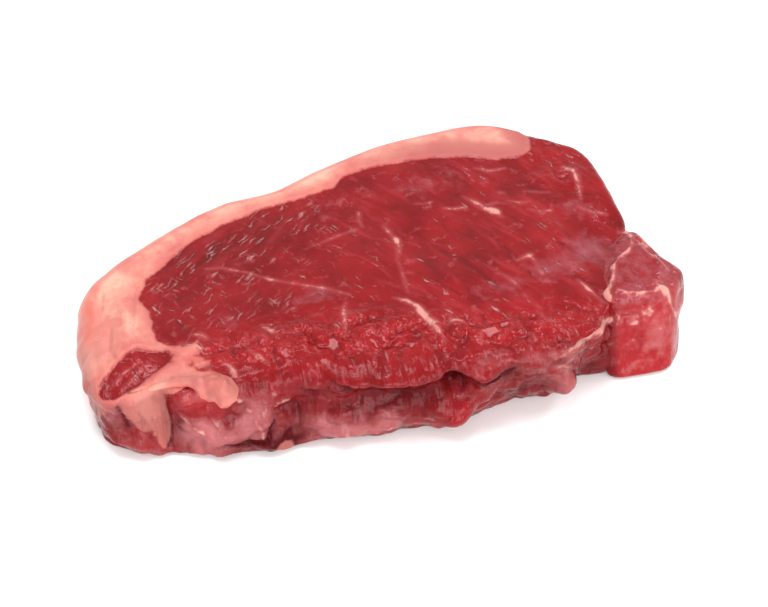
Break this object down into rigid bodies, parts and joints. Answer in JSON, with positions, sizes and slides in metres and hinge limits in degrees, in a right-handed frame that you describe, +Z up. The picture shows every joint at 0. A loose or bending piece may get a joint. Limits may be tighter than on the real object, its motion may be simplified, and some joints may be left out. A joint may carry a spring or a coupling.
{
  "type": "raw striploin steak",
  "caption": "Thick raw beef steak with a fat cap along one long edge, a ragged trimmed near side and a small side muscle at one end, lying flat on its lower cut face.",
  "frame": {"origin": "under the middle of the steak's bounding box, on the surface that it lies on", "axes": "+X along the loin muscle towards the small side muscle, +Y towards the fat cap, +Z up, square to the two cut faces"},
  "size_m": [0.1785, 0.1037, 0.0285],
  "materials": {
    "raw_beef": "moist raw meat, deep red lean with pale pink fat"
  },
  "bodies": {
    "root": {"steak": "raw_beef"}
  },
  "joints": []
}
